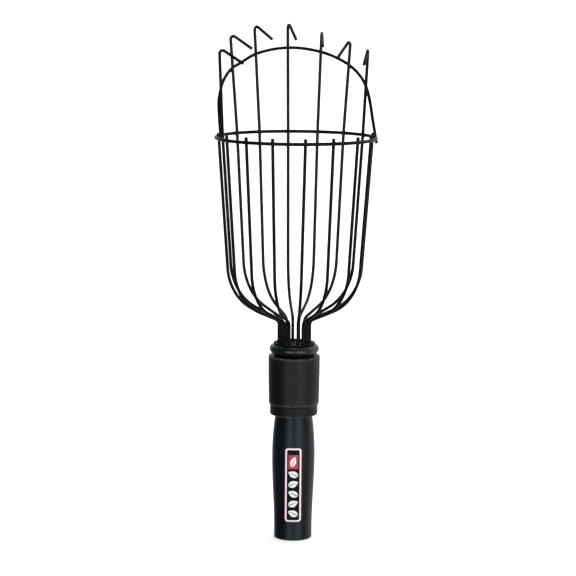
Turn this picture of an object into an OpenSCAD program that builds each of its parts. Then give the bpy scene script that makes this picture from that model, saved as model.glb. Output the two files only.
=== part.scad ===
// Fruit picker basket: a welded wire basket in a moulded head, held to a
// pole handle by a screwed collar. Millimetres, +Z from the pole socket
// towards the basket, -Y is the basket's low, open side.

/* [Basket] */
// Diameter of the basket rods
rod_d = 3; // [2.6:0.1:3.2]
// Diameter of the rim ring's wire
rim_d = 3.2; // [2.8:0.1:3.6]
// Radius of the rim ring, to the middle of its wire
rim_r = 74.6; // [74.4:0.1:74.8]
// Height of the rim ring
rim_z = 381.5; // [380:0.5:382]
// How far the short rods stand above the middle of the rim ring
short_over = 4.6; // [3:0.2:7]
// Distance from a rod's bend to the tip of its hook
hook_len = 27.5; // [20:0.5:28]

/* [Head] */
// Radius of the circle that the rods stand on in the head
neck_r = 14.6; // [14.5:0.1:14.7]
// Radius of the head's top lip
lip_r = 19.8; // [19.4:0.1:20.4]
// Section radius of the soft bumper ring
bumper_h = 4.4; // [4:0.1:4.5]

/* [Collar] */
// Outer radius of the collar at its top
collar_top_r = 24.3; // [24:0.1:25]
// Outer radius of the collar's lower band
collar_band_r = 22.6; // [22.2:0.1:23]
// Radius of the thread between collar and spigot
thread_r = 19.9; // [19.8:0.05:20]

/* [Handle] */
// Radius of the handle at its foot
grip_foot_r = 18; // [17.5:0.1:18.5]
// Largest radius of the handle
grip_r = 20.3; // [19.8:0.1:20.8]
// Radius of the threaded pole socket, at the crests of its thread
socket_r = 7.1; // [7:0.05:7.3]
// Depth of the pole socket
socket_depth = 38; // [30:1:40]

/* [Label] */
// Width of the label plate
label_w = 16; // [14:0.5:18]
// Height of the label plate
label_h = 72.5; // [60:0.5:76]
// Angle of the label plate around the handle
label_turn = -6; // [-15:1:15]

/* [Hidden] */

// heights along the axis
grip_z = 120.5;       // top of the grip and the tube
shoulder_z = 123.5;   // top of the spigot's shoulder
spigot_z = 163.2;     // top of the spigot
flange_z = 164;       // underside of the hub's flange
flange_top = 170.2;
collar_z0 = 119.5;
collar_lip = 171.5;   // underside of the collar's lip
collar_z1 = 176;
cap_z0 = 176.4;
cap_z1 = 188.5;
foot_z = 160;         // middle of the rods' bent feet
bore_clear = 0.08;

// rods: angle from the back, clockwise from above, and details of each
wire_r = 71.9;        // rod circle where it meets the rim ring
tall_phi = [-67.5, -45, -23, 0, 22.8, 45.2, 67.5];
tall_z = [463.3, 475.6, 484, 486.8, 478.4, 471.2, 463.6];
tall_lean = [0.042, 0.097, 0.115, 0.105, 0.112, 0.107, 0.058];
hook_turn = [-3, -10, -17, -16, -19, -6, -50];
hook_drop = [32, 30, 30, 38, 32, 37, 32];
short_phi = [90, 112.5, 134.7, 158, 180.8, 203, 224.7, 247.7, 270];
short_top = [90, 112.5, 134.7, 158, 179.2, 203, 224.7, 247.5, 270];
short_foot = [90, 112.5, 134, 152.5, 172.7, 206, 225, 247.5, 270];

// ---------- swept round rod ----------
function unit(v) = v / norm(v);
function polar(phi, r, z) = [r * sin(phi), r * cos(phi), z];

// points of the rounded corner at p[i]
function corner(p, i, r, step) =
  let (a = unit(p[i-1] - p[i]), b = unit(p[i+1] - p[i]),
       ang = acos(max(-1, min(1, a * b))), sweep = 180 - ang)
  sweep < 0.5 ? [p[i]] :
  let (t = r / tan(ang / 2), e1 = unit(a * t - r / sin(ang / 2) * unit(a + b)),
       c = p[i] + r / sin(ang / 2) * unit(a + b), e2 = -a,
       n = max(1, ceil(sweep / step)))
  [for (k = [0:n]) c + r * (cos(sweep * k / n) * e1 + sin(sweep * k / n) * e2)];

function rounded(p, rr, step = 15) = concat([p[0]],
  [for (i = [1:len(p)-2]) each corner(p, i, rr[i], step)], [p[len(p)-1]]);

function tangents(q) = let (n = len(q)) [for (i = [0:n-1])
  i == 0 ? unit(q[1] - q[0]) : i == n-1 ? unit(q[n-1] - q[n-2])
  : unit(unit(q[i] - q[i-1]) + unit(q[i+1] - q[i]))];

// side vectors carried along the path without twist
function sides(t, u0) = [for (i = 0, u = unit(u0 - (u0 * t[0]) * t[0]); i < len(t);
  i = i + 1, u = i < len(t) ? unit(u - (u * t[i]) * t[i]) : u) u];

// the twelve sides hold the same area as a true circle
module rod(path, u0, d, cut = 0.5) {
  m = 12;
  n0 = len(path);
  q = concat([path[0], path[0] + cut * unit(path[1] - path[0])],
    [for (i = [1:n0-2]) path[i]],
    [path[n0-1] + cut * unit(path[n0-2] - path[n0-1]), path[n0-1]]);
  t = tangents(q);
  u = sides(t, u0);
  n = len(q);
  r = d / 2 * 1.0233;
  pts = [for (i = [0:n-1]) let (s = (i == 0 || i == n-1) ? r - 0.4 : r, v = cross(t[i], u[i]))
    for (k = [0:m-1]) q[i] + s * (cos(360 * k / m) * u[i] + sin(360 * k / m) * v)];
  polyhedron(points = pts, faces = concat(
    [[for (k = [0:m-1]) k]], [[for (k = [0:m-1]) (n-1) * m + m - 1 - k]],
    [for (i = [0:n-2]) for (k = [0:m-1]) [i*m + k, (i+1)*m + k, (i+1)*m + (k+1) % m]],
    [for (i = [0:n-2]) for (k = [0:m-1]) [i*m + k, (i+1)*m + (k+1) % m, i*m + (k+1) % m]]));
}

// foot, neck, arm, bowl and upright of one rod, up to the rim
function bowl(phi, foot) = [
  polar(foot, 10.4, foot_z), polar(foot, neck_r, foot_z), polar(foot, neck_r, 209.3),
  polar(phi, 49.4, 224.65), polar(phi, 62.4, 247.1)];
bowl_rr = [0, 2.5, 7, 42, 49];

module short_rod(i) {
  phi = short_phi[i];
  p = concat(bowl(phi, short_foot[i]),
    [polar(short_top[i], wire_r + 0.0712 * short_over, rim_z + short_over)]);
  rod(rounded(p, concat(bowl_rr, [0])), polar(phi + 90, 1, 0), rod_d);
}

module tall_rod(i) {
  phi = tall_phi[i];
  top = [phi, wire_r + tall_lean[i] * (tall_z[i] - rim_z), tall_z[i]];
  tip = polar(phi, top[1], top[2]) + hook_len * (cos(hook_drop[i]) * polar(phi + 180 + hook_turn[i], 1, 0)
    + [0, 0, -sin(hook_drop[i])]);
  p = concat(bowl(phi, phi), [polar(phi, wire_r, rim_z), polar(phi, top[1], top[2]), tip]);
  rod(rounded(p, concat(bowl_rr, [60, 3, 0])), polar(phi + 90, 1, 0), rod_d);
}

module tall_wire_1() { color([0.13, 0.14, 0.14]) tall_rod(0); }
module tall_wire_2() { color([0.13, 0.14, 0.14]) tall_rod(1); }
module tall_wire_3() { color([0.13, 0.14, 0.14]) tall_rod(2); }
module tall_wire_4() { color([0.13, 0.14, 0.14]) tall_rod(3); }
module tall_wire_5() { color([0.13, 0.14, 0.14]) tall_rod(4); }
module tall_wire_6() { color([0.13, 0.14, 0.14]) tall_rod(5); }
module tall_wire_7() { color([0.13, 0.14, 0.14]) tall_rod(6); }
module short_wire_1() { color([0.1, 0.11, 0.11]) short_rod(0); }
module short_wire_2() { color([0.1, 0.11, 0.11]) short_rod(1); }
module short_wire_3() { color([0.1, 0.11, 0.11]) short_rod(2); }
module short_wire_4() { color([0.1, 0.11, 0.11]) short_rod(3); }
module short_wire_5() { color([0.1, 0.11, 0.11]) short_rod(4); }
module short_wire_6() { color([0.1, 0.11, 0.11]) short_rod(5); }
module short_wire_7() { color([0.1, 0.11, 0.11]) short_rod(6); }
module short_wire_8() { color([0.1, 0.11, 0.11]) short_rod(7); }
module short_wire_9() { color([0.1, 0.11, 0.11]) short_rod(8); }

module rim_ring() {
  color([0.12, 0.13, 0.13]) translate([0, 0, rim_z])
    rotate_extrude($fn = 96) translate([rim_r, 0]) circle(d = rim_d, $fn = 24);
}

// the hoop hugs the tall rods from outside and its legs pass outside the rim
arch_pts = [
  [-60, 77.6, 375.5], [-61, 77.5, 382.5], [-63, 77.2, 393], [-65.5, 76.6, 405],
  [-67, 76, 414], [-62.5, 76.7, 423], [-56.5, 78.1, 430.8], [-45, 80.5, 441.5],
  [-34, 82.2, 447.7], [-23, 83.1, 455], [-11, 83.1, 459.5], [0, 83.1, 461.3],
  [11, 83.2, 460.6], [22.8, 83.2, 457.5], [34, 82.6, 452.3], [45.2, 81.5, 445.2],
  [55, 79.8, 436.8], [62, 78.2, 429.5], [67.5, 77, 421.5], [71.5, 76.8, 411],
  [75, 77.2, 397], [80, 77.5, 382.5], [83, 77.6, 375.5]];
function spline(a, b, c, d, t) = 0.5 * (2*b + (c - a)*t + (2*a - 5*b + 4*c - d)*t*t + (3*b - a - 3*c + d)*t*t*t);
function arch_path() = let (n = len(arch_pts), s = 2)
  [for (j = [0:s*(n-1)]) let (i = min(floor(j / s), n - 2), t = j / s - i,
    q = spline(arch_pts[max(0, i-1)], arch_pts[i], arch_pts[i+1], arch_pts[min(n-1, i+2)], t))
    polar(q[0], q[1], q[2])];
module arch_hoop() { color([0.12, 0.13, 0.13]) rod(arch_path(), polar(-60, 1, 0), rod_d); }

// ---------- head ----------
module rod_holes(z0, z1) {
  for (p = concat(tall_phi, short_foot)) translate(polar(p, neck_r, z0))
    cylinder(h = z1 - z0, d = rod_d + 0.2, $fn = 24);
}

module head_cap() {
  color([0.07, 0.08, 0.08]) difference() {
    rotate_extrude($fn = 96) difference() {
      union() {
        translate([0, cap_z0]) square([19, 11]);
        translate([0, 187]) square([lip_r - 0.6, cap_z1 - 187]);
        translate([0, 187.5]) square([lip_r, 0.5]);
        translate([lip_r - 0.6, 187.5]) circle(r = 0.5, $fn = 24);
        translate([lip_r - 0.6, 188]) circle(r = 0.5, $fn = 24);
      }
      translate([-1, 187.6]) square([11.5, 2]);
    }
    rod_holes(cap_z0 - 1, cap_z1 + 1);
    translate([0, 0, cap_z0 - 1]) cylinder(h = 4.8, r = 11.6, $fn = 48);
    translate([0, 0, cap_z0]) cylinder(h = 9.2, r = 3.05, $fn = 32);
  }
}

module head_hub() {
  color([0.08, 0.09, 0.09]) difference() {
    union() {
      translate([0, 0, cap_z0 - 0.1]) cylinder(h = 3.7, r = 11.5, $fn = 48);
      translate([0, 0, 163]) cylinder(h = cap_z0 - 163, r = 17.3 - bore_clear, $fn = 96);
      translate([0, 0, flange_z]) cylinder(h = flange_top - flange_z, r = 20, $fn = 96);
      translate([0, 0, 161.6]) cylinder(h = 3, r = 11.9, $fn = 48);
      for (a = [0, 180]) rotate([0, 0, a]) translate([16, -3, 158.5]) intersection() {
        cube([3, 6, 7]);
        translate([1.1, 0, 0]) cube([1.4, 6, 7]);
      }
    }
    difference() {
      translate([0, 0, 160]) cylinder(h = 3, r = 17, $fn = 96);
      translate([0, 0, 159]) cylinder(h = 5, r = 11.9, $fn = 48);
    }
    rod_holes(160, cap_z0 + 1);
    translate([0, 0, 160]) cylinder(h = 22, r = 3.05, $fn = 32);
  }
}

module bumper_ring() {
  color([0.05, 0.055, 0.055]) rotate_extrude($fn = 96) intersection() {
    translate([19.05, 182.4]) circle(r = bumper_h, $fn = 48);
    translate([19.05, 170]) square([10, 16.9]);
  }
}

module clamp_plate() {
  color([0.6, 0.6, 0.58]) difference() {
    translate([0, 0, 154.5]) cylinder(h = 6.9, r = 16.8, $fn = 96);
    for (p = concat(tall_phi, short_foot)) rotate([0, 0, -p]) translate([-1.6, 10.2, 158.4])
      cube([3.2, 8, 4]);
    translate([0, 0, 150]) cylinder(h = 14, r = 3.1, $fn = 32);
  }
}

module clamp_screw() {
  color([0.7, 0.7, 0.72]) difference() {
    union() {
      translate([0, 0, 149.3]) cylinder(h = 4, r = 5, $fn = 48);
      translate([0, 0, 153]) cylinder(h = 32, r = 2.95, $fn = 32);
    }
    translate([0, 0, 149]) cylinder(h = 2.8, r = 2.9, $fn = 6);
  }
}

module screw_washer() {
  color([0.7, 0.7, 0.72]) translate([0, 0, 153.3]) difference() {
    cylinder(h = 1.2, r = 8, $fn = 48);
    translate([0, 0, -1]) cylinder(h = 4, r = 3.1, $fn = 32);
  }
}

module thrust_washer() {
  color([0.85, 0.85, 0.82]) translate([0, 0, flange_top]) difference() {
    cylinder(h = 1.2, r = 19.8, $fn = 96);
    translate([0, 0, -1]) cylinder(h = 4, r = 17.4, $fn = 96);
  }
}

// ---------- collar ----------
module collar_nut() {
  color([0.12, 0.135, 0.14]) rotate_extrude($fn = 96) difference() {
    union() {
      translate([17.3, collar_lip]) square([collar_top_r - 0.8 - 17.3, collar_z1 - collar_lip]);
      translate([collar_top_r - 0.8, collar_z1 - 0.8]) circle(r = 0.8, $fn = 24);
      polygon([[20.4, 130], [collar_top_r - 0.5, 131.5], [collar_top_r - 0.4, 140],
        [collar_top_r - 0.15, 152], [collar_top_r, 164], [collar_top_r, collar_z1 - 0.8], [20.4, collar_z1 - 0.8]]);
      polygon([[20.4, 127], [collar_band_r, 127], [collar_band_r, 128], [collar_band_r + 0.25, 129],
        [collar_top_r - 0.9, 130.3], [collar_top_r - 0.5, 131.5], [20.4, 132]]);
      translate([20.4, collar_z0]) square([collar_band_r - 21.6, 8]);
      translate([20.4, collar_z0 + 1.2]) square([collar_band_r - 20.4, 7]);
      translate([collar_band_r - 1.2, collar_z0 + 1.2]) circle(r = 1.2, $fn = 32);
      translate([thread_r + 0.3, 131]) square([1, 16]);
    }
    for (k = [0:2]) translate([collar_band_r, 122 + 1.9 * k]) circle(r = 0.3, $fn = 16);
  }
}

// ---------- handle ----------
// two arc pads, cut away where the keys pass
module seat_gasket() {
  color([0.15, 0.15, 0.15]) difference() {
    translate([0, 0, spigot_z]) cylinder(h = 0.7, r = 18.7, $fn = 96);
    translate([0, 0, spigot_z - 1]) cylinder(h = 4, r = 17.4, $fn = 96);
    translate([-25, -3.6, spigot_z - 1]) cube([50, 7.2, 4]);
  }
}

module spigot() {
  color([0.1, 0.11, 0.12]) difference() {
    union() {
      translate([0, 0, 88]) cylinder(h = 60, r = 11.95, $fn = 64);
      translate([0, 0, grip_z]) cylinder(h = shoulder_z - grip_z, r = 20, $fn = 96);
      translate([0, 0, shoulder_z - 1]) cylinder(h = 8, r = 18.4, $fn = 96);
      translate([0, 0, 130]) cylinder(h = 0.9, r1 = thread_r - 0.9, r2 = thread_r, $fn = 96);
      translate([0, 0, 130.9]) cylinder(h = 20.2, r = thread_r, $fn = 96);
      translate([0, 0, 151.1]) cylinder(h = 0.9, r1 = thread_r, r2 = thread_r - 0.9, $fn = 96);
      translate([0, 0, 151]) cylinder(h = spigot_z - 151, r = 18.8, $fn = 96);
    }
    translate([0, 0, 146.5]) cylinder(h = 20, r = 17.3, $fn = 96);
    translate([0, 0, 80]) cylinder(h = 70, r = 8, $fn = 64);
    for (a = [0, 180]) rotate([0, 0, a]) translate([16, -3.4, 157.8]) cube([4, 6.8, 8]);
    for (a = [90, 270]) rotate([0, 0, a]) translate([9, 0, 104]) rotate([0, 90, 0])
      cylinder(h = 6, r = 2.03, $fn = 32);
  }
}

module pins(z, r0) {
  for (a = [90, 270]) rotate([0, 0, a]) translate([r0, 0, z]) rotate([0, 90, 0])
    cylinder(h = 13.9 - r0, r = 2, $fn = 32);
}
module spigot_pins() { color([0.7, 0.7, 0.72]) pins(104, 9.2); }
module socket_pins() { color([0.7, 0.7, 0.72]) pins(30, 10); }

module handle_tube() {
  color([0.75, 0.76, 0.78]) difference() {
    translate([0, 0, 2.6]) cylinder(h = grip_z - 2.7, r = 14, $fn = 64);
    translate([0, 0, -1]) cylinder(h = 130, r = 12, $fn = 64);
    for (z = [30, 104]) for (a = [90, 270]) rotate([0, 0, a]) translate([9, 0, z]) rotate([0, 90, 0])
      cylinder(h = 8, r = 2.03, $fn = 32);
  }
}

// outline of the barrel: a cosine swell below the belly, a parabola above it
function grip_out(z) = z < 8 ? grip_foot_r
  : z < 80 ? grip_foot_r + (grip_r - grip_foot_r) * (0.5 - 0.5 * cos(180 * (z - 8) / 72))
  : grip_r - 0.00184 * (z - 80) * (z - 80);
function grip_side(g, z0, z1, dz) = [for (k = [0:round((z1 - z0) / dz)]) let (z = z0 + k * dz) [grip_out(z) + g, z]];

module grip() {
  color([0.11, 0.14, 0.17]) rotate_extrude($fn = 96) difference() {
    union() {
      polygon(concat([[14.05, 1.6]], grip_side(0, 1.6, 118.6, 4.5), [[grip_out(grip_z), grip_z], [14.05, grip_z]]));
      translate([14.05, 0]) square([grip_foot_r - 14.05 - 1.6, 3]);
      translate([grip_foot_r - 1.6, 1.6]) circle(r = 1.6, $fn = 32);
    }
    translate([10, -1]) square([6, 3.5]);
  }
}

module pole_socket() {
  color([0.16, 0.17, 0.18]) difference() {
    union() {
      cylinder(h = 2.5, r = 15.9, $fn = 96);
      cylinder(h = 44, r = 11.95, $fn = 64);
    }
    translate([0, 0, -1]) cylinder(h = socket_depth + 1, r = socket_r, $fn = 64);
    for (a = [90, 270]) rotate([0, 0, a]) translate([9.8, 0, 30]) rotate([0, 90, 0])
      cylinder(h = 6, r = 2.03, $fn = 32);
  }
}

label_mid = 54.5;
function reversed(q) = [for (k = [len(q)-1:-1:0]) q[k]];
module label_outline() {
  for (x = [-1, 1]) for (z = [-1, 1])
    translate([x * (label_w / 2 - 3), label_mid + z * (label_h / 2 - 3)]) circle(r = 3, $fn = 32);
  translate([-label_w / 2, label_mid - label_h / 2 + 3]) square([label_w, label_h - 6]);
  translate([-label_w / 2 + 3, label_mid - label_h / 2]) square([label_w - 6, label_h]);
}
module label_plate() {
  color([0.85, 0.86, 0.87]) rotate([0, 0, label_turn]) intersection() {
    rotate_extrude($fn = 96) polygon(concat(grip_side(0.4, 10.6, 100.6, 4.5),
      reversed(grip_side(0.02, 10.6, 100.6, 4.5))));
    rotate([90, 0, 0]) linear_extrude(height = 30) label_outline();
  }
}

tall_wire_1();
tall_wire_2();
tall_wire_3();
tall_wire_4();
tall_wire_5();
tall_wire_6();
tall_wire_7();
short_wire_1();
short_wire_2();
short_wire_3();
short_wire_4();
short_wire_5();
short_wire_6();
short_wire_7();
short_wire_8();
short_wire_9();
rim_ring();
arch_hoop();
head_cap();
head_hub();
bumper_ring();
clamp_plate();
clamp_screw();
screw_washer();
thrust_washer();
collar_nut();
seat_gasket();
spigot();
spigot_pins();
handle_tube();
grip();
pole_socket();
socket_pins();
label_plate();
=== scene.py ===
import math

import bmesh
import bpy
import numpy as np
from mathutils import Matrix, Vector
from mathutils.geometry import delaunay_2d_cdt


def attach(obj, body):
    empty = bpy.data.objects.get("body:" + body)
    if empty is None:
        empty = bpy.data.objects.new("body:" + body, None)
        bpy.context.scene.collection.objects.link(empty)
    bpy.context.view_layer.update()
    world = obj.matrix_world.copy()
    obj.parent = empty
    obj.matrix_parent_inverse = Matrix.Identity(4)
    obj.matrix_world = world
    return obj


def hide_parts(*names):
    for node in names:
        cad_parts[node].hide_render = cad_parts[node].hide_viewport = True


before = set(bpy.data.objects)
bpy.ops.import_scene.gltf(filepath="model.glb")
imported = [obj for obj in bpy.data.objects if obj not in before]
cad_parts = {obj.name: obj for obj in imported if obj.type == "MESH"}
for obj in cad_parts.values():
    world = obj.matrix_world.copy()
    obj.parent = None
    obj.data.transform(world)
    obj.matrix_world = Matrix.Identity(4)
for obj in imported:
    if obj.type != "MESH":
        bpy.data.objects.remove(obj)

bpy.context.view_layer.update()
scene = bpy.context.scene
MM = 0.001


# ------------------------------------------------------------------ materials
class Nodes:
    """Small helper to write a node tree."""

    def __init__(self, mat):
        mat.use_nodes = True
        self.tree = mat.node_tree
        self.tree.nodes.clear()
        self.out = self.tree.nodes.new("ShaderNodeOutputMaterial")
        self.shader = self.tree.nodes.new("ShaderNodeBsdfPrincipled")
        self.link(self.shader.outputs[0], self.out.inputs[0])
        self.coord = self.tree.nodes.new("ShaderNodeTexCoord").outputs["Object"]

    def link(self, a, b):
        self.tree.links.new(a, b)

    def stretched(self, scale):
        m = self.tree.nodes.new("ShaderNodeMapping")
        m.inputs["Scale"].default_value = scale
        self.link(self.coord, m.inputs["Vector"])
        return m.outputs[0]

    def noise(self, scale, detail=3.0, rough=0.55, vector=None, distortion=0.0):
        n = self.tree.nodes.new("ShaderNodeTexNoise")
        n.inputs["Scale"].default_value = scale
        n.inputs["Detail"].default_value = detail
        n.inputs["Roughness"].default_value = rough
        n.inputs["Distortion"].default_value = distortion
        self.link(vector or self.coord, n.inputs["Vector"])
        return n.outputs["Fac"]

    def cells(self, scale, vector=None):
        n = self.tree.nodes.new("ShaderNodeTexVoronoi")
        n.feature = "F1"
        n.inputs["Scale"].default_value = scale
        self.link(vector or self.coord, n.inputs["Vector"])
        return n.outputs["Distance"]

    def ramp(self, fac, stops):
        n = self.tree.nodes.new("ShaderNodeValToRGB")
        e = n.color_ramp.elements
        while len(e) < len(stops):
            e.new(0.5)
        for el, (pos, col) in zip(e, stops):
            el.position = pos
            el.color = (*col, 1.0) if len(col) == 3 else col
        self.link(fac, n.inputs[0])
        return n.outputs["Color"]

    def span(self, fac, lo, hi, a, b):
        n = self.tree.nodes.new("ShaderNodeMapRange")
        n.inputs["From Min"].default_value = lo
        n.inputs["From Max"].default_value = hi
        n.inputs["To Min"].default_value = a
        n.inputs["To Max"].default_value = b
        self.link(fac, n.inputs["Value"])
        return n.outputs[0]

    def math(self, op, a, b):
        n = self.tree.nodes.new("ShaderNodeMath")
        n.operation = op
        for v, i in ((a, 0), (b, 1)):
            if isinstance(v, (int, float)):
                n.inputs[i].default_value = v
            else:
                self.link(v, n.inputs[i])
        return n.outputs[0]

    def mix(self, fac, a, b, blend="MIX"):
        n = self.tree.nodes.new("ShaderNodeMix")
        n.data_type = "RGBA"
        n.blend_type = blend
        self.link(fac, n.inputs[0])
        for v, i in ((a, 6), (b, 7)):
            if isinstance(v, tuple):
                n.inputs[i].default_value = (*v, 1.0)
            else:
                self.link(v, n.inputs[i])
        return n.outputs[2]

    def attribute(self, name):
        n = self.tree.nodes.new("ShaderNodeAttribute")
        n.attribute_name = name
        return n.outputs["Fac"]

    def bump(self, height, distance, strength=1.0, normal=None):
        n = self.tree.nodes.new("ShaderNodeBump")
        n.inputs["Distance"].default_value = distance
        n.inputs["Strength"].default_value = strength
        self.link(height, n.inputs["Height"])
        if normal is not None:
            self.link(normal, n.inputs["Normal"])
        return n.outputs[0]


def shade(c, k):
    return tuple(max(0.0, min(1.0, v * k)) for v in c)


def coated(name, base, rough, spec=0.5, cloud=45.0, grain=1500.0, grain_mm=0.012, vary=0.16,
           rough_vary=0.07, gleam=None, wear_and_sheen=None, wear_and_sheen_rough=0.5, wear_and_sheen_at=0.5, coat=0.0, coat_rough=0.2, sheen=0.0,
           metal=0.0, cells=False, tint=None):
    """A finish with cloudy colour, a fine grain that bumps and mottles it, and rubbed places, which on the collar also
    paint a highlight along its edges.
    """
    m = bpy.data.materials.new(name)
    g = Nodes(m)
    s = g.shader
    s.inputs["Metallic"].default_value = metal
    s.inputs["Specular IOR Level"].default_value = spec
    if gleam:
        s.inputs["Specular Tint"].default_value = (*gleam, 1.0)
    if coat:
        s.inputs["Coat Weight"].default_value = coat
        s.inputs["Coat Roughness"].default_value = coat_rough
    if sheen:
        s.inputs["Sheen Weight"].default_value = sheen
        s.inputs["Sheen Roughness"].default_value = 0.45
    big = g.noise(cloud, 4.0, 0.6)
    fine = g.cells(grain) if cells else g.noise(grain, 2.0, 0.6)
    colour = g.ramp(big, [(0.3, shade(base, 1 - vary)), (0.5, base), (0.72, shade(tint or base, 1 + vary))])
    speck = g.ramp(fine, [(0.25, (0.86, 0.86, 0.86)), (0.7, (1.1, 1.1, 1.1))])
    one = g.tree.nodes.new("ShaderNodeMix")
    one.data_type = "RGBA"
    one.blend_type = "MULTIPLY"
    one.inputs[0].default_value = 1.0
    g.link(colour, one.inputs[6])
    g.link(speck, one.inputs[7])
    colour = one.outputs[2]
    r = g.span(g.math("ADD", g.math("MULTIPLY", big, 0.6), g.math("MULTIPLY", fine, 0.4)), 0.3, 0.7,
               rough - rough_vary, rough + rough_vary)
    if wear_and_sheen is not None:
        rub = g.noise(520.0, 5.0, 0.7, distortion=0.4)
        mask = g.math("MULTIPLY", g.attribute("wear_and_sheen"), g.span(rub, wear_and_sheen_at - 0.06, wear_and_sheen_at + 0.12, 0.0, 1.0))
        colour = g.mix(mask, colour, wear_and_sheen)
        n = g.tree.nodes.new("ShaderNodeMix")
        n.data_type = "FLOAT"
        g.link(mask, n.inputs[0])
        g.link(r, n.inputs[2])
        n.inputs[3].default_value = wear_and_sheen_rough
        r = n.outputs[0]
    g.link(colour, s.inputs["Base Color"])
    g.link(r, s.inputs["Roughness"])
    low = g.noise(grain * 0.22, 2.0, 0.5)
    n0 = g.bump(low, grain_mm * MM * 1.6, 0.5)
    g.link(g.bump(fine, grain_mm * MM, 0.8, n0), s.inputs["Normal"])
    return m


def metal(name, base, rough, lines, lines_mm=0.006, stretch=(1, 1, 0.02), spots=None):
    """Bare or plated metal with drawn or turned lines."""
    m = bpy.data.materials.new(name)
    g = Nodes(m)
    s = g.shader
    s.inputs["Metallic"].default_value = 1.0
    big = g.noise(70.0, 4.0, 0.6)
    fine = g.noise(lines, 3.0, 0.6, g.stretched(stretch))
    colour = g.ramp(big, [(0.3, shade(base, 0.86)), (0.6, base), (0.8, spots or shade(base, 1.08))])
    g.link(colour, s.inputs["Base Color"])
    g.link(g.span(g.math("ADD", g.math("MULTIPLY", big, 0.4), g.math("MULTIPLY", fine, 0.6)), 0.3, 0.7,
                  rough - 0.08, rough + 0.1), s.inputs["Roughness"])
    g.link(g.bump(fine, lines_mm * MM, 0.7), s.inputs["Normal"])
    return m


WIRE = coated("wire_coat", (0.0030, 0.0034, 0.0032), 0.32, spec=0.12, cloud=60, grain=1400, grain_mm=0.014,
              vary=0.22, wear_and_sheen=(0.045, 0.047, 0.047), wear_and_sheen_rough=0.42, wear_and_sheen_at=0.6)
# same coating as the other rods: this lighter, bluer, glossier copy is painted sheen for the light falling on the back
# rods
BACK_WIRE_PAINTED_SHEEN = coated("back_wire_painted_sheen", (0.0070, 0.0088, 0.0108), 0.3, spec=0.24, gleam=(0.8, 0.92, 1.0), cloud=60, grain=1400, grain_mm=0.014,
                   vary=0.24, wear_and_sheen=(0.045, 0.047, 0.047), wear_and_sheen_rough=0.42, wear_and_sheen_at=0.6)
CAP = coated("cap_plastic", (0.0032, 0.0036, 0.0036), 0.5, spec=0.1, cloud=80, grain=2600, grain_mm=0.01, vary=0.15,
             wear_and_sheen=(0.035, 0.037, 0.037), wear_and_sheen_at=0.6)
BUMPER = coated("bumper_rubber", (0.0036, 0.0044, 0.0046), 0.2, spec=0.85, cloud=90, grain=1900, grain_mm=0.008,
                vary=0.14, rough_vary=0.05)
# its lighter edge colour is partly rubbed wear and partly a painted highlight on the rounded edges
COLLAR = coated("collar_matte", (0.0028, 0.0034, 0.0036), 0.44, spec=0.42, cloud=55, grain=2300, grain_mm=0.02,
                vary=0.17, rough_vary=0.05, wear_and_sheen=(0.085, 0.09, 0.088), wear_and_sheen_rough=0.4, wear_and_sheen_at=0.47, cells=True)
GRIP = coated("grip_gloss", (0.0024, 0.0044, 0.0070), 0.3, spec=0.42, gleam=(0.8, 0.92, 1.0), cloud=38, grain=1700, grain_mm=0.006, vary=0.13,
              rough_vary=0.05, wear_and_sheen=(0.035, 0.04, 0.045), wear_and_sheen_rough=0.45, wear_and_sheen_at=0.58)
SOCKET = coated("socket_nylon", (0.016, 0.0165, 0.0175), 0.5, spec=0.45, cloud=90, grain=2100, grain_mm=0.02, vary=0.2)
THREADED = coated("spigot_plastic", (0.011, 0.012, 0.0125), 0.42, spec=0.45, cloud=90, grain=2200, grain_mm=0.012,
                  vary=0.16)
NYLON = coated("washer_nylon", (0.62, 0.61, 0.56), 0.42, spec=0.4, cloud=120, grain=2000, grain_mm=0.01, vary=0.08)
ZINC = metal("zinc_plate", (0.6, 0.6, 0.57), 0.3, 900.0, stretch=(1, 1, 0.15), spots=(0.66, 0.64, 0.52))
TUBE = metal("drawn_tube", (0.72, 0.73, 0.75), 0.28, 1600.0)
LABEL_WHITE = coated("label_white", (0.78, 0.79, 0.8), 0.28, spec=0.5, cloud=120, grain=2600, grain_mm=0.003, vary=0.035,
                     rough_vary=0.04)
LABEL_DARK = coated("label_dark", (0.003, 0.0036, 0.006), 0.3, spec=0.1, cloud=120, grain=2600, grain_mm=0.003, vary=0.12,
                    rough_vary=0.04)
LABEL_RED = coated("label_red", (0.42, 0.03, 0.055), 0.28, spec=0.5, cloud=120, grain=2600, grain_mm=0.003, vary=0.08,
                   rough_vary=0.04)


# ------------------------------------------------------------------ mesh tools
def piece(name, verts, faces, mats, body, nodes=(), angle=32.0, which=None, wear_and_sheen=None, weld=1e-6):
    """Makes an object from points in millimetres, closes its seams and fixes it to a body."""
    me = bpy.data.meshes.new(name)
    me.from_pydata([(v[0] * MM, v[1] * MM, v[2] * MM) for v in verts], [], faces)
    if which is not None:
        me.polygons.foreach_set("material_index", which)
    if wear_and_sheen is not None:
        at = me.attributes.new("wear_and_sheen", "FLOAT", "POINT")
        at.data.foreach_set("value", np.asarray(wear_and_sheen, np.float32))
    bm = bmesh.new()
    bm.from_mesh(me)
    bmesh.ops.remove_doubles(bm, verts=bm.verts, dist=weld)
    bmesh.ops.dissolve_degenerate(bm, edges=bm.edges, dist=weld * 0.2)
    bmesh.ops.recalc_face_normals(bm, faces=bm.faces)
    bm.to_mesh(me)
    bm.free()
    me.polygons.foreach_set("use_smooth", [True] * len(me.polygons))
    me.set_sharp_from_angle(angle=math.radians(angle))
    for m in mats if isinstance(mats, (list, tuple)) else [mats]:
        me.materials.append(m)
    o = bpy.data.objects.new(name, me)
    scene.collection.objects.link(o)
    if body:
        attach(o, body)
    if nodes:
        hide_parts(*nodes)
    return o


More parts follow.
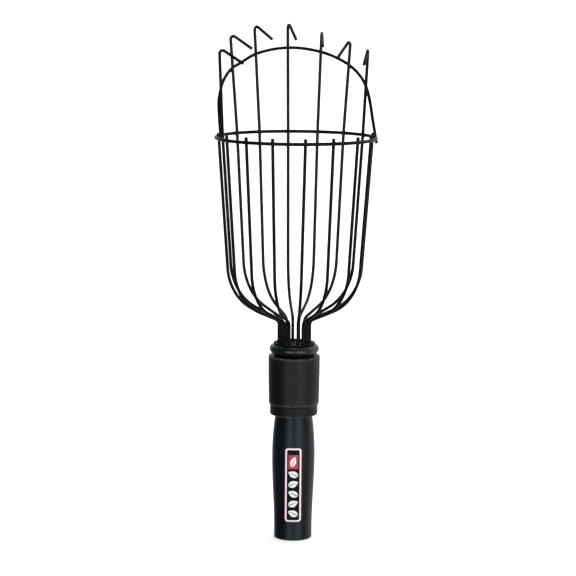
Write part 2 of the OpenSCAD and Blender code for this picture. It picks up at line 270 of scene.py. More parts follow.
def softened(points, seg=5, hold=0.35):
    """An outline of (r, z, corner radius) with its corners rounded and an edge held beside each one."""
    out = []
    n = len(points)
    for i, (x, z, rad) in enumerate(points):
        p = np.array([x, z], float)
        a = np.array(points[i - 1][:2], float) - p
        b = np.array(points[(i + 1) % n][:2], float) - p
        la, lb = np.linalg.norm(a), np.linalg.norm(b)
        if rad <= 0 or la < 1e-9 or lb < 1e-9:
            out.append((x, z))
            continue
        a, b = a / la, b / lb
        ang = math.acos(max(-1.0, min(1.0, float(a @ b))))
        if math.pi - ang < 0.05:
            out.append((x, z))
            continue
        t = min(rad / math.tan(ang / 2), 0.48 * la, 0.48 * lb)
        rr = t * math.tan(ang / 2)
        c = p + (a + b) / np.linalg.norm(a + b) * rr / math.sin(ang / 2)
        s0, s1 = p + a * t, p + b * t
        if la - t > 3 * hold:
            out.append(tuple(s0 + a * hold))
        v0, v1 = s0 - c, s1 - c
        sweep = math.pi - ang
        for k in range(seg + 1):
            f = k / seg
            v = (v0 * math.sin((1 - f) * sweep) + v1 * math.sin(f * sweep)) / math.sin(sweep) if sweep < 3.1 else v0
            out.append(tuple(c + v))
        if lb - t > 3 * hold:
            out.append(tuple(s1 + b * hold))
    return out


def thread(z0, z1, lead, phase, root, crest, top, base, fade):
    """Rows of a helical ridge on a turned part: right-handed, with the ridge's middle at lead * turn + phase."""
    rows = []
    knots = [(-base / 2, 0), (-top / 2, 1), (top / 2, 1), (base / 2, 0)]
    for m in range(math.floor((z0 - phase) / lead) - 2, math.ceil((z1 - phase) / lead) + 1):
        for k, up in knots:
            def row(phi, m=m, k=k, up=up):
                z = min(max(lead * (phi / (2 * math.pi) + m) + phase + k, z0), z1)
                f = max(0.0, min(1.0, (z - z0) / fade, (z1 - z) / fade))
                return root + (crest - root) * up * f * f * (3 - 2 * f), z
            rows.append(row)
    return rows


def turned(rows, n):
    """Points and faces of a ring-shaped part. A row is (r, z), or a function of the turn in radians."""
    verts, faces = [], []
    for row in rows:
        for j in range(n + 1):
            phi = 2 * math.pi * j / n
            r, z = row(phi) if callable(row) else row
            verts.append((r * math.cos(phi), r * math.sin(phi), z))
    m = len(rows)
    for i in range(m):
        a, b = i * (n + 1), ((i + 1) % m) * (n + 1)
        for j in range(n):
            faces.append((a + j, a + j + 1, b + j + 1, b + j))
    return verts, faces


def unit(v):
    return v / np.linalg.norm(v)


def polar(phi, r, z):
    a = math.radians(phi)
    return np.array([r * math.sin(a), r * math.cos(a), z])


def rounded(p, rr, step):
    """A path through the points p with its corners rounded to the radii rr."""
    out = [p[0]]
    for i in range(1, len(p) - 1):
        a, b = unit(p[i - 1] - p[i]), unit(p[i + 1] - p[i])
        ang = math.acos(max(-1.0, min(1.0, float(a @ b))))
        sweep = math.pi - ang
        if math.degrees(sweep) < 0.5:
            out.append(p[i])
            continue
        r = rr[i]
        c = p[i] + r / math.sin(ang / 2) * unit(a + b)
        e1 = unit(p[i] + a * r / math.tan(ang / 2) - c)
        n = max(2, math.ceil(math.degrees(sweep) / step))
        for k in range(n + 1):
            out.append(c + r * (math.cos(sweep * k / n) * e1 - math.sin(sweep * k / n) * a))
    out.append(p[-1])
    return out


def spaced(path, longest):
    """The same path with no straight stretch longer than that."""
    out = [path[0]]
    for a, b in zip(path, path[1:]):
        n = max(1, math.ceil(np.linalg.norm(b - a) / longest))
        out += [a + (b - a) * k / n for k in range(1, n + 1)]
    return out


def tube(path, radius, u0, sides=20, end=0.45, bead=0.0):
    """A round rod along a path, with rounded cut ends and a slight bead of coating at the last one."""
    q = [np.array(x, float) for x in path]
    d0, d1 = unit(q[1] - q[0]), unit(q[-1] - q[-2])
    steps = [math.radians(a) for a in (90, 67, 45, 22, 0)]
    head = [(q[0] + d0 * end * (1 - math.sin(a)), radius - end * (1 - math.cos(a))) for a in steps]
    tail = [(q[-1] - d1 * end * (1 - math.sin(a)), radius - end * (1 - math.cos(a))) for a in reversed(steps)]
    # at 0 the cut's rounding starts at the full radius; at 90 it is the flat of the cut
    mid = [(p, radius) for p in q[1:-1] if np.linalg.norm(p - q[0]) > end * 1.5 and np.linalg.norm(p - q[-1]) > end * 1.5]
    line = head + mid + tail
    pts = [p for p, _ in line]
    rad = [r for _, r in line]
    if bead:
        along = [np.linalg.norm(p - q[-1]) for p in pts]
        rad = [r + bead * max(0.0, 1 - a / 2.2) ** 0.5 * (1 if a > end * 0.2 else 0.6) if a < 2.2 else r
               for r, a in zip(rad, along)]
    n = len(pts)
    tang = []
    for i in range(n):
        a = pts[max(0, i - 1)]
        b = pts[min(n - 1, i + 1)]
        v = b - a
        tang.append(unit(v) if np.linalg.norm(v) > 1e-7 else None)
    for i in range(n):
        if tang[i] is None:
            tang[i] = d0 if i < n / 2 else d1
    for i in range(5):
        tang[i] = d0
        tang[n - 1 - i] = d1
    u = unit(u0 - (u0 @ tang[0]) * tang[0])
    verts, faces = [], []
    for i in range(n):
        u = unit(u - (u @ tang[i]) * tang[i])
        v = np.cross(tang[i], u)
        for k in range(sides):
            a = 2 * math.pi * k / sides
            verts.append(pts[i] + rad[i] * (math.cos(a) * u + math.sin(a) * v))
    for i in range(n - 1):
        for k in range(sides):
            k2 = (k + 1) % sides
            faces.append((i * sides + k, i * sides + k2, (i + 1) * sides + k2, (i + 1) * sides + k))
    c0, c1 = len(verts), len(verts) + 1
    verts += [pts[0], pts[-1]]
    for k in range(sides):
        k2 = (k + 1) % sides
        faces.append((c0, k2, k))
        faces.append((c1, (n - 1) * sides + k, (n - 1) * sides + k2))
    return verts, faces


# ------------------------------------------------------------------ the basket's rods
ROD, RIM_ROD = 1.5, 1.6
RIM_R, RIM_Z, WIRE_R, NECK_R, FOOT_Z = 74.6, 381.5, 71.9, 14.6, 160.0
TALL = [(-67.5, 463.3, 0.042, -3, 32), (-45, 475.6, 0.097, -10, 30), (-23, 484, 0.115, -17, 30),
        (0, 486.8, 0.105, -16, 38), (22.8, 478.4, 0.112, -19, 32), (45.2, 471.2, 0.107, -6, 37),
        (67.5, 463.6, 0.058, -50, 32)]
SHORT = [(90, 90, 90), (112.5, 112.5, 112.5), (134.7, 134, 134.7), (158, 152.5, 158), (180.8, 172.7, 179.2),
         (203, 206, 203), (224.7, 225, 224.7), (247.7, 247.5, 247.5), (270, 270, 270)]
HOOK, OVER = 27.5, 4.6


def bowl(phi, foot):
    return [polar(foot, 10.4, FOOT_Z), polar(foot, NECK_R, FOOT_Z), polar(foot, NECK_R, 209.3),
            polar(phi, 49.4, 224.65), polar(phi, 62.4, 247.1)]


def tall_path(phi, top_z, lean, turn, drop):
    r = WIRE_R + lean * (top_z - RIM_Z)
    corner = polar(phi, r, top_z)
    d = math.radians(drop)
    tip = corner + HOOK * (math.cos(d) * polar(phi + 180 + turn, 1, 0) + np.array([0, 0, -math.sin(d)]))
    p = bowl(phi, phi) + [polar(phi, WIRE_R, RIM_Z), corner, tip]
    return rounded(p, [0, 2.5, 7, 42, 49, 60, 3, 0], 6)


def short_path(phi, foot, top):
    p = bowl(phi, foot) + [polar(top, WIRE_R + 0.0712 * OVER, RIM_Z + OVER)]
    return rounded(p, [0, 2.5, 7, 42, 49, 0], 6)


def rub(verts, spots, reach):
    """How worn each point is: 1 at the named spots, less with distance."""
    v = np.array(verts)
    w = np.zeros(len(v))
    for s in spots:
        d = np.linalg.norm(v - s, axis=1)
        w = np.maximum(w, np.clip(1 - d / reach, 0, 1))
    return w


paths = {}
for i, t in enumerate(TALL, 1):
    path = tall_path(*t)
    paths[f"tall_wire_{i}"] = path
    v, f = tube(spaced(path, 9.0), ROD, polar(t[0] + 90, 1, 0), bead=0.07)
    # the back tall rods take the lighter copy of the coating, a painted sheen
    piece(f"tall_rod_{i}", v, f, BACK_WIRE_PAINTED_SHEEN if abs(t[0]) < 60 else WIRE, "head", [f"tall_wire_{i}"], angle=50,
          wear_and_sheen=rub(v, [path[-1], path[-3]], 7.0))
for i, s in enumerate(SHORT, 1):
    path = short_path(*s)
    paths[f"short_wire_{i}"] = path
    v, f = tube(spaced(path, 9.0), ROD, polar(s[0] + 90, 1, 0), bead=0.07)
    piece(f"short_rod_{i}", v, f, WIRE, "head", [f"short_wire_{i}"], angle=50,
          wear_and_sheen=rub(v, [path[-1]], 4.0))

# the rim ring, a plain hoop of slightly thicker rod
ring = [(RIM_R + RIM_ROD * math.cos(2 * math.pi * k / 24), RIM_Z + RIM_ROD * math.sin(2 * math.pi * k / 24)) for k in range(24)]
v, f = turned(ring, 192)
piece("rim_hoop", v, f, WIRE, "head", ["rim_ring"], wear_and_sheen=[0.35] * len(v))

ARCH = [(-60, 77.6, 375.5), (-61, 77.5, 382.5), (-63, 77.2, 393), (-65.5, 76.6, 405), (-67, 76, 414),
        (-62.5, 76.7, 423), (-56.5, 78.1, 430.8), (-45, 80.5, 441.5), (-34, 82.2, 447.7), (-23, 83.1, 455),
        (-11, 83.1, 459.5), (0, 83.1, 461.3), (11, 83.2, 460.6), (22.8, 83.2, 457.5), (34, 82.6, 452.3),
        (45.2, 81.5, 445.2), (55, 79.8, 436.8), (62, 78.2, 429.5), (67.5, 77, 421.5), (71.5, 76.8, 411),
        (75, 77.2, 397), (80, 77.5, 382.5), (83, 77.6, 375.5)]


def arch_path(steps):
    n = len(ARCH)
    p = [np.array(a, float) for a in ARCH]
    out = []
    for j in range(steps * (n - 1) + 1):
        i = min(j // steps, n - 2)
        t = j / steps - i
        a, b, c, d = p[max(0, i - 1)], p[i], p[i + 1], p[min(n - 1, i + 2)]
        q = 0.5 * (2 * b + (c - a) * t + (2 * a - 5 * b + 4 * c - d) * t * t + (3 * b - a - 3 * c + d) * t ** 3)
        out.append(polar(*q))
    return out


arch = arch_path(6)
v, f = tube(arch, ROD, polar(-60, 1, 0), bead=0.05)
piece("arch_rod", v, f, WIRE, "head", ["arch_hoop"], angle=50, wear_and_sheen=rub(v, [arch[0], arch[-1]], 5.0))


# ------------------------------------------------------------------ weld fillets at the crossings
def fine(path, near, reach, step=0.25):
    pts = []
    for a, b in zip(path, path[1:]):
        if min(np.linalg.norm(a - near), np.linalg.norm(b - near)) > reach + np.linalg.norm(b - a):
            continue
        n = max(1, math.ceil(np.linalg.norm(b - a) / step))
        pts += [(a + (b - a) * k / n, unit(b - a)) for k in range(n + 1)]
    return pts


def crossing(path_a, path_b, near):
    """Where two rods pass closest to each other, near a point."""
    a, b = fine(path_a, near, 6.0), fine(path_b, near, 6.0)
    pa, pb = np.array([x[0] for x in a]), np.array([x[0] for x in b])
    d = np.linalg.norm(pa[:, None] - pb[None], axis=2)
    i, j = np.unravel_index(np.argmin(d), d.shape)
    return a[i], b[j], float(d[i, j])


ico = bmesh.new()
bmesh.ops.create_icosphere(ico, subdivisions=4, radius=1.0)
ICO_V = np.array([unit(np.array(v.co)) for v in ico.verts])
ICO_F = [tuple(v.index for v in f.verts) for f in ico.faces]
ico.free()


def fillet(ra, rb, a, b, k, seed):
    """The soft union of two crossing rods close to their weld, seen from its middle."""
    (pa, da), (pb, db) = a, b
    mid = pa + (pb - pa) * (ra / (ra + rb))
    rng = np.random.default_rng(seed)
    lobes = [(unit(rng.normal(size=3)), rng.uniform(-0.07, 0.1)) for _ in range(7)]
    swell = sum(h * np.clip(ICO_V @ u, 0, 1) ** 6 for u, h in lobes)

    def field(t):
        p = mid + ICO_V * t[:, None]
        qa, qb = p - pa, p - pb
        fa = np.linalg.norm(qa - np.outer(qa @ da, da), axis=1) - ra
        fb = np.linalg.norm(qb - np.outer(qb @ db, db), axis=1) - rb
        h = np.clip(0.5 + 0.5 * (fb - fa) / k, 0, 1)
        soft = fb * (1 - h) + fa * h - k * h * (1 - h)
        return soft - swell * (np.abs(fa - fb) < k) * 0.5, np.minimum(fa, fb) - soft

    reach = 2.9
    t = np.full(len(ICO_V), 0.05)
    done = np.zeros(len(ICO_V), bool)
    for _ in range(72):
        s, _g = field(t)
        done |= s > 0
        t = np.where(done, t, t + 0.04)
    t = np.minimum(t, reach)
    s, gain = field(t)
    t = np.where(gain < 0.03, t - 0.06, t)
    return [mid + ICO_V[i] * t[i] for i in range(len(t))]


ring_path = [polar(a * 1.5, RIM_R, RIM_Z) for a in range(241)]
weld_v, weld_f, count = [], [], 0
for name, path in paths.items():
    phi = (TALL if name.startswith("tall") else SHORT)[int(name.rsplit("_", 1)[1]) - 1][0]
    a, b, d = crossing(path, ring_path, polar(phi, 73, RIM_Z))
    jobs = [(ROD, RIM_ROD, a, b, 1.5)]
    if name.startswith("tall"):
        at = min(arch, key=lambda p: abs((math.degrees(math.atan2(p[0], p[1])) - phi)) + (50 if p[2] < 420 else 0))
        a, b, d = crossing(path, arch, at)
        jobs.append((ROD, ROD, a, b, 1.6))
    for ra, rb, a, b, k in jobs:
        pts = fillet(ra, rb, a, b, k, 11 + count)
        weld_f += [tuple(i + len(weld_v) for i in f) for f in ICO_F]
        weld_v += pts
        count += 1
for end in (1, -2):
    at = polar(*ARCH[end])
    a, b, d = crossing(arch, ring_path, at)
    pts = fillet(ROD, RIM_ROD, a, b, 1.9, 71 + count)
    weld_f += [tuple(i + len(weld_v) for i in f) for f in ICO_F]
    weld_v += pts
    count += 1
piece("weld_fillets", weld_v, weld_f, WIRE, "head", (), angle=180, wear_and_sheen=[0.45] * len(weld_v), weld=1e-8)

# ------------------------------------------------------------------ the head
N = 192


def rim_wear_and_sheen(verts, r, z, reach):
    """Wear along the edge of a turned part at (r, z); on the collar the same mask also places a painted highlight on
    the edge.
    """
    q = np.array(verts)
    return np.clip(1 - np.hypot(np.hypot(q[:, 0], q[:, 1]) - r, q[:, 2] - z) / reach, 0, 1)


cap_line = softened([(0.0, 176.4, 0), (18.9, 176.4, 0.3), (18.98, 186.6, 0.5), (19.75, 187.1, 0.35), (19.78, 188.48, 0.55),
                     (10.6, 188.48, 0.35), (10.2, 187.6, 0.3), (0.0, 187.6, 0)], seg=5, hold=0.3)
v, f = turned(cap_line, N)
cap = piece("cap_disc", v, f, CAP, "head", ["head_cap"], wear_and_sheen=rim_wear_and_sheen(v, 19.7, 188.4, 1.1))

cut_v, cut_f = [], []
for foot in [t[0] for t in TALL] + [s[1] for s in SHORT]:
    c = polar(foot, NECK_R, 0)
    base = len(cut_v)
    rings = [(1.56, 184.0), (1.56, 188.08), (2.12, 188.64), (2.12, 190.0)]
    m = 28
    for r, z in rings:
        cut_v += [(c[0] + r * math.cos(2 * math.pi * k / m), c[1] + r * math.sin(2 * math.pi * k / m), z) for k in range(m)]
    for i in range(3):
        for k in range(m):
            k2 = (k + 1) % m
            cut_f.append((base + i * m + k, base + i * m + k2, base + (i + 1) * m + k2, base + (i + 1) * m + k))
    cut_f.append(tuple(base + k for k in reversed(range(m))))
    cut_f.append(tuple(base + 3 * m + k for k in range(m)))


def carve(obj, verts, faces, angle=32.0):
    """Cuts a closed mesh out of obj for good."""
    tool = piece("cutter", verts, faces, CAP, None)
    mod = obj.modifiers.new("cut", "BOOLEAN")
    mod.operation = "DIFFERENCE"
    mod.solver = "EXACT"
    mod.object = tool
    dg = bpy.context.evaluated_depsgraph_get()
    made = bpy.data.meshes.new_from_object(obj.evaluated_get(dg), depsgraph=dg)
    obj.modifiers.clear()
    old = obj.data
    obj.data = made
    bpy.data.meshes.remove(old)
    data = tool.data
    bpy.data.objects.remove(tool)
    bpy.data.meshes.remove(data)
    bm = bmesh.new()
    bm.from_mesh(made)
    bmesh.ops.recalc_face_normals(bm, faces=bm.faces)
    bm.to_mesh(made)
    bm.free()
    made.polygons.foreach_set("use_smooth", [True] * len(made.polygons))
    made.set_sharp_from_angle(angle=math.radians(angle))


carve(cap, cut_v, cut_f)

# soft bumper ring round the cap: a glossy half-round bead
bead = [(19.06 + 4.36 * math.cos(math.radians(a)), 182.4 + 4.36 * math.sin(math.radians(a))) for a in range(-90, 91, 6)]
bead = [(19.06, 178.3)] + bead[1:-1] + [(19.06, 186.5)]
v, f = turned(softened([(x, z, 0.25 if i in (0, len(bead) - 1) else 0) for i, (x, z) in enumerate(bead)], 3), N)
piece("bumper_bead", v, f, BUMPER, "head", ["bumper_ring"])

# ------------------------------------------------------------------ the collar, with its thread
LEAD = 4.0
bore = list(reversed(thread(132.0, 148.0, LEAD, 2.0, 20.35, 19.2, 1.1, 2.2, 2.2)))
body = softened([
    (20.35, 120.4, 0), (20.6, 119.52, 0.3), (21.4, 119.5, 0), (22.2, 119.85, 0.5), (22.58, 120.7, 0.5),
    (22.6, 121.55, 0.08), (22.32, 121.75, 0.1), (22.32, 122.1, 0.1), (22.6, 122.3, 0.08),
    (22.6, 123.45, 0.08), (22.32, 123.65, 0.1), (22.32, 124.0, 0.1), (22.6, 124.2, 0.08),
    (22.6, 125.35, 0.08), (22.32, 125.55, 0.1), (22.32, 125.9, 0.1), (22.6, 126.1, 0.08),
    (22.62, 127.9, 0.4), (22.95, 129.2, 0.8), (23.62, 130.4, 0.8), (23.82, 131.7, 1.0), (23.9, 140.0, 0),
    (24.15, 152.0, 0), (24.28, 164.0, 0), (24.3, 173.6, 0), (24.3, 175.98, 0.75), (17.3, 175.98, 0.3),
    (17.3, 171.52, 0.25), (20.35, 171.52, 0.3)], seg=4, hold=0.3)
rows = body + bore
v, f = turned(rows, N)
# lighter collar top rim, foot edge and band step: partly rubbed wear, partly a painted highlight along these edges
edge = np.maximum(rim_wear_and_sheen(v, 24.1, 175.9, 1.6), rim_wear_and_sheen(v, 22.5, 119.9, 1.6))
edge = np.maximum(edge, 0.8 * rim_wear_and_sheen(v, 23.6, 130.9, 1.2))
piece("collar_body", v, f, COLLAR, "collar", ["collar_nut"], wear_and_sheen=edge)

# ------------------------------------------------------------------ the spigot, with its thread
low = softened([(8.0, 88.0, 0), (11.95, 88.0, 0.5), (11.95, 120.5, 0.3), (19.95, 120.5, 0.3), (19.95, 123.5, 0.4),
                (18.4, 123.5, 0.3), (18.4, 129.6, 0.3), (18.75, 130.0, 0)], seg=4)
male = thread(130.0, 152.0, LEAD, 0.0, 18.75, 19.88, 1.1, 2.2, 2.2)
high = softened([(18.75, 152.0, 0), (18.78, 152.4, 0), (18.78, 163.2, 0.5), (17.32, 163.2, 0.3), (17.32, 146.5, 0.6), (8.0, 146.5, 0)],
                seg=4)
v, f = turned(low + male + high, N)
spigot = piece("spigot_body", v, f, THREADED, "handle", ["spigot"])
slots_v, slots_f = [], []
for s in (-1, 1):
    base = len(slots_v)
    xs = sorted((s * 16.0, s * 21.0))
    slots_v += [(x, y, z) for x in xs for y in (-3.4, 3.4) for z in (157.8, 165.0)]
    slots_f += [tuple(base + i for i in q) for q in
                ((0, 1, 3, 2), (4, 6, 7, 5), (0, 4, 5, 1), (2, 3, 7, 6), (0, 2, 6, 4), (1, 5, 7, 3))]
carve(spigot, slots_v, slots_f)


# ------------------------------------------------------------------ the handle
def grip_out(z):
    if z < 8:
        return 18.0
    if z < 80:
        return 18.0 + 2.3 * (0.5 - 0.5 * math.cos(math.pi * (z - 8) / 72))
    return 20.3 - 0.00184 * (z - 80) ** 2


side = [(grip_out(z), z, 0) for z in np.arange(5.0, 119.0, 2.0)]
grip_line = softened([(14.05, 2.5, 0), (16.0, 2.5, 0.15), (16.0, 0.0, 0.3), (17.98, 0.0, 1.55), (18.0, 3.2, 0)] + side
                     + [(grip_out(120.5), 120.5, 0.8), (14.05, 120.5, 0.3)], seg=6)
v, f = turned(grip_line, N)
piece("grip_shell", v, f, GRIP, "handle", ["grip"], wear_and_sheen=rim_wear_and_sheen(v, 17.6, 0.4, 1.7))

# pole socket: flange, body, and the 3/4-5 ACME thread in its bore
acme = thread(1.6, 36.5, 5.08, 1.2, 9.6, 7.1, 1.88, 3.18, 3.6)
outer = softened([(9.9, 0.02, 0), (15.9, 0.02, 0.35), (15.9, 2.5, 0.2), (11.95, 2.5, 0.3), (11.95, 44.0, 0.5),
                  (0.0, 44.0, 0)], seg=4)
inner = [(0.0, 38.0), (6.8, 38.0), (7.4, 37.8), (9.3, 36.9)]
v, f = turned([(9.6, 1.2), (9.75, 0.4)] + outer + inner + list(reversed(acme)), 160)
piece("socket_body", v, f, SOCKET, "handle", ["pole_socket"])

# ------------------------------------------------------------------ the label
LW, LH, LR, LMID, LTURN = 16.0, 72.5, 3.0, 54.5, -6.0


def round_rect(inset, seg=10):
    w, h, r = LW / 2 - inset, LH / 2 - inset, max(0.6, LR - inset * 0.8)
    out = []
    for cx, cy, a0 in ((w - r, h - r, 0), (-w + r, h - r, 90), (-w + r, -h + r, 180), (w - r, -h + r, 270)):
        for k in range(seg + 1):
            a = math.radians(a0 + 90 * k / seg)
            out.append((cx + r * math.cos(a), cy + r * math.sin(a)))
    return out


def leaf(cx, cy, length, width, turn):
    """A leaf of the printed pattern and its rib, from its stalk end to its tip."""
    a = math.radians(turn)

    def at(t, w):
        x = (t - 0.5) * length
        return cx + x * math.cos(a) - w * math.sin(a), cy + x * math.sin(a) + w * math.cos(a)

    def half(t):
        return width / 2 * math.sin(math.pi * t ** 0.85) ** 0.8 if 0 < t < 1 else 0.0

    edge = [at(k / 14, -half(k / 14)) for k in range(15)] + [at(k / 14, half(k / 14)) for k in range(13, 0, -1)]
    return edge, [at(0.05, -0.42), at(0.45, -0.34), at(0.8, -0.12), at(0.8, 0.12), at(0.45, 0.34), at(0.05, 0.42)]


def block(cy, w, h, r=0.7):
    out = []
    for cx, y, a0 in ((w - r, h - r, 0), (-w + r, h - r, 90), (-w + r, -h + r, 180), (w - r, -h + r, 270)):
        out += [(cx + r * math.cos(math.radians(a0 + 30 * k)), cy + y + r * math.sin(math.radians(a0 + 30 * k)))
                for k in range(4)]
    return out


# 0 white, 1 red, 2 dark
zones = [(round_rect(0.0), 1), (round_rect(0.55), 0), (round_rect(2.0), 2), (block(22.6, 4.6, 6.8), 1)]
prints = [(0.0, 22.7, 10.4, 5.4, 72, 1)]
prints += [(0.0, 10.7 - 9.6 * k, 9.9, 6.4, 24 if k % 2 else 156, 2) for k in range(5)]
for cx, cy, length, width, turn, ground in prints:
    edge, rib = leaf(cx, cy, length, width, turn)
    zones += [(edge, 0), (rib, ground)]
pts, edges, polys = [], [], []
for k, (outline, m) in enumerate(zones):  # every outline runs anticlockwise
    area = sum(x0 * y1 - x1 * y0 for (x0, y0), (x1, y1) in zip(outline, outline[1:] + outline[:1]))
    if area < 0:
        zones[k] = (outline[::-1], m)
for outline, _m in zones:
    base = len(pts)
    pts += [Vector(p) for p in outline]
    polys.append(list(range(base, base + len(outline))))
for x in np.arange(-7.0, 7.5, 1.0):
    pts += [Vector((x + 0.013, -LH / 2 - 1)), Vector((x + 0.013, LH / 2 + 1))]
    edges.append((len(pts) - 2, len(pts) - 1))
for y in np.arange(-33.0, 34.0, 3.0):
    pts += [Vector((-LW / 2 - 1, y + 0.017)), Vector((LW / 2 + 1, y + 0.017))]
    edges.append((len(pts) - 2, len(pts) - 1))
cv, ce, cf, ov, oe, of_ = delaunay_2d_cdt(pts, edges, polys, 0, 1e-5, True)
tris, zone = [], []
for t, owners in zip(cf, of_):
    if owners:
        tris.append(tuple(t))
        zone.append(zones[max(owners)][1])
used = sorted({i for t in tris for i in t})
new = {old: k for k, old in enumerate(used)}
flat = [(cv[i][0], cv[i][1]) for i in used]
tris = [tuple(new[i] for i in t) for t in tris]
half = {}
for t in tris:
    for i in range(len(t)):
        a, b = t[i], t[(i + 1) % len(t)]
        half[(a, b)] = half.get((a, b), 0) + 1
rim = [(a, b) for (a, b) in half if (b, a) not in half]
on_rim = {i for e in rim for i in e}


def wrap(x, z, up):
    r = grip_out(z) + up
    y = -math.sqrt(max(1.0, r * r - x * x))
    a = math.radians(LTURN)
    return (x * math.cos(a) - y * math.sin(a), x * math.sin(a) + y * math.cos(a), z)


n = len(flat)
verts = [wrap(x, LMID + y, 0.26 if i in on_rim else 0.36) for i, (x, y) in enumerate(flat)]
verts += [wrap(x, LMID + y, 0.04) for x, y in flat]
faces = list(tris) + [tuple(n + i for i in reversed(t)) for t in tris] + [(b, a, n + a, n + b) for a, b in rim]
which = zone + [0] * len(tris) + [1] * len(rim)
piece("label_plate_print", verts, faces, [LABEL_WHITE, LABEL_RED, LABEL_DARK], "handle", ["label_plate"],
      which=which, weld=1e-7, angle=40)

# ------------------------------------------------------------------ carried-over parts
for name, mat in {"head_hub": CAP, "clamp_plate": ZINC, "clamp_screw": ZINC, "screw_washer": ZINC, "thrust_washer": NYLON,
                  "seat_gasket": BUMPER, "spigot_pins": ZINC, "socket_pins": ZINC, "handle_tube": TUBE}.items():
    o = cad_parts[name]
    for s in o.material_slots:
        s.material = mat

# ------------------------------------------------------------------ stage
me = bpy.data.meshes.new("floor")
bm = bmesh.new()
bmesh.ops.create_circle(bm, cap_ends=True, segments=96, radius=60.0)
bm.to_mesh(me)
bm.free()
floor = bpy.data.objects.new("floor", me)
scene.collection.objects.link(floor)
pale = bpy.data.materials.new("pale_floor")
g = Nodes(pale)
g.link(g.ramp(g.noise(1.5, 3.0), [(0.3, (0.88, 0.88, 0.885)), (0.7, (0.93, 0.93, 0.93))]), g.shader.inputs["Base Color"])
g.shader.inputs["Roughness"].default_value = 0.9
g.shader.inputs["Specular IOR Level"].default_value = 0.1
me.materials.append(pale)


sun = bpy.data.lights.new("top_soft", "SUN")
sun.energy = 4.2
sun.angle = math.radians(110)
sun_o = bpy.data.objects.new("top_soft", sun)
scene.collection.objects.link(sun_o)
sun_o.rotation_euler = (math.radians(-8), math.radians(6), 0)
sun_o.visible_glossy = False
floor.visible_glossy = False


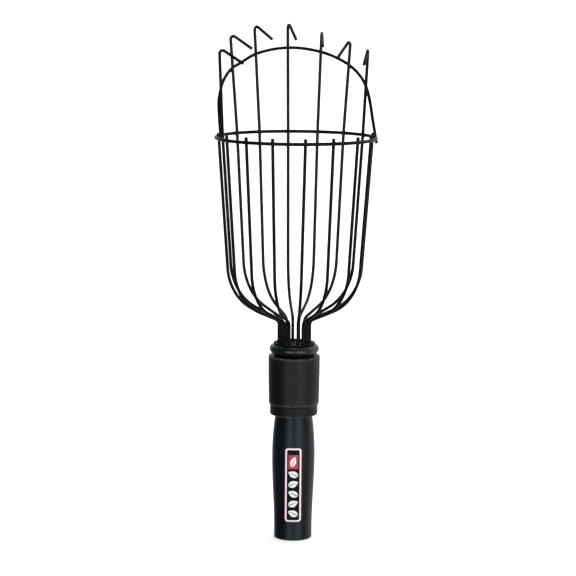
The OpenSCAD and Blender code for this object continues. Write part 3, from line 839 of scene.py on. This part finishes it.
class Sky:
    """The studio around the object: soft boxes given by their azimuth from the front, to the right, and elevation."""

    def __init__(self):
        world = bpy.data.worlds.new("studio")
        world.use_nodes = True
        scene.world = world
        self.t = world.node_tree
        self.t.nodes.clear()
        out = self.t.nodes.new("ShaderNodeOutputWorld")
        co = self.t.nodes.new("ShaderNodeTexCoord")
        xyz = self.t.nodes.new("ShaderNodeSeparateXYZ")
        self.t.links.new(co.outputs["Generated"], xyz.inputs[0])
        self.az = self.m("ARCTAN2", xyz.outputs[0], self.m("MULTIPLY", xyz.outputs[1], -1.0))
        self.el = self.m("ARCSINE", xyz.outputs[2], 0.0)
        self.sum = None
        seen = self.t.nodes.new("ShaderNodeBackground")
        seen.inputs[0].default_value = (1, 1, 1, 1)
        seen.inputs[1].default_value = 1.05
        self.fill = self.t.nodes.new("ShaderNodeBackground")
        pick = self.t.nodes.new("ShaderNodeMixShader")
        ray = self.t.nodes.new("ShaderNodeLightPath")
        self.t.links.new(ray.outputs["Is Camera Ray"], pick.inputs[0])
        self.t.links.new(self.fill.outputs[0], pick.inputs[1])
        self.t.links.new(seen.outputs[0], pick.inputs[2])
        self.t.links.new(pick.outputs[0], out.inputs[0])

    def m(self, op, a, b):
        n = self.t.nodes.new("ShaderNodeMath")
        n.operation = op
        for v, i in ((a, 0), (b, 1)):
            if isinstance(v, (int, float)):
                n.inputs[i].default_value = v
            else:
                self.t.links.new(v, n.inputs[i])
        return n.outputs[0]

    def edge(self, angle, middle, half, soft, turn=False):
        d = self.m("ABSOLUTE", self.m("SUBTRACT", angle, math.radians(middle)), 0.0)
        if turn:  # the short way round
            d = self.m("MINIMUM", d, self.m("SUBTRACT", 2 * math.pi, d))
        n = self.t.nodes.new("ShaderNodeMapRange")
        n.interpolation_type = "SMOOTHSTEP"
        n.inputs["From Min"].default_value = math.radians(half)
        n.inputs["From Max"].default_value = math.radians(half + soft)
        n.inputs["To Min"].default_value = 1.0
        n.inputs["To Max"].default_value = 0.0
        self.t.links.new(d, n.inputs["Value"])
        return n.outputs[0]

    def box(self, strength, colour, az=None, el=None):
        f = 1.0
        if az:
            f = self.edge(self.az, *az, turn=True)
        if el:
            e = self.edge(self.el, *el)
            f = self.m("MULTIPLY", e, f)
        n = self.t.nodes.new("ShaderNodeVectorMath")
        n.operation = "SCALE"
        n.inputs[0].default_value = tuple(c * strength for c in colour)
        if isinstance(f, float):
            n.inputs["Scale"].default_value = f
        else:
            self.t.links.new(f, n.inputs["Scale"])
        if self.sum is not None:
            add = self.t.nodes.new("ShaderNodeVectorMath")
            add.operation = "ADD"
            self.t.links.new(self.sum, add.inputs[0])
            self.t.links.new(n.outputs[0], add.inputs[1])
            self.sum = add.outputs[0]
        else:
            self.sum = n.outputs[0]
        self.t.links.new(self.sum, self.fill.inputs[0])


sky = Sky()
sky.box(0.05, (0.9, 1.0, 1.0))
sky.box(1.35, (0.97, 1.0, 1.0), az=(-27, 7, 20), el=(-4, 9, 22))
sky.box(1.15, (0.97, 1.0, 1.0), az=(26, 8, 22), el=(-4, 9, 22))
sky.box(0.3, (0.95, 0.98, 1.0), az=(48, 40, 30), el=(0, 30, 40))
sky.box(0.62, (1.0, 1.0, 0.98), az=(142, 34, 30))
sky.box(0.36, (0.75, 0.88, 1.0), az=(-160, 14, 26))
sky.box(0.15, (1, 1, 1), el=(90, 20, 30))

scene.view_settings.view_transform = "Standard"
scene.view_settings.look = "None"

# ------------------------------------------------------------------ camera
AZ, EL, ROLL, ASIDE, AWAY, LENS = -5.9, 8.8, 0.45, -6.75 * 0.94, 1974.0, 131.25
a, e, t = (math.radians(x) for x in (AZ, EL, ROLL))
back = Vector((math.sin(a) * math.cos(e), -math.cos(a) * math.cos(e), math.sin(e)))
right = (-back).cross(Vector((0, 0, 1))).normalized()
up = right.cross(-back)
rx = math.cos(t) * right + math.sin(t) * up
uy = -math.sin(t) * right + math.cos(t) * up
place = (Vector((0, 0, 240)) + right * ASIDE + back * AWAY) * MM
cam = bpy.data.cameras.new("camera")
cam.lens = LENS
cam.sensor_width = 36.0
cam.clip_start, cam.clip_end = 0.05, 200.0
camera = bpy.data.objects.new("camera", cam)
scene.collection.objects.link(camera)
m = Matrix((rx, uy, back)).transposed().to_4x4()
m.translation = place
camera.matrix_world = m
scene.camera = camera

bpy.context.view_layer.update()
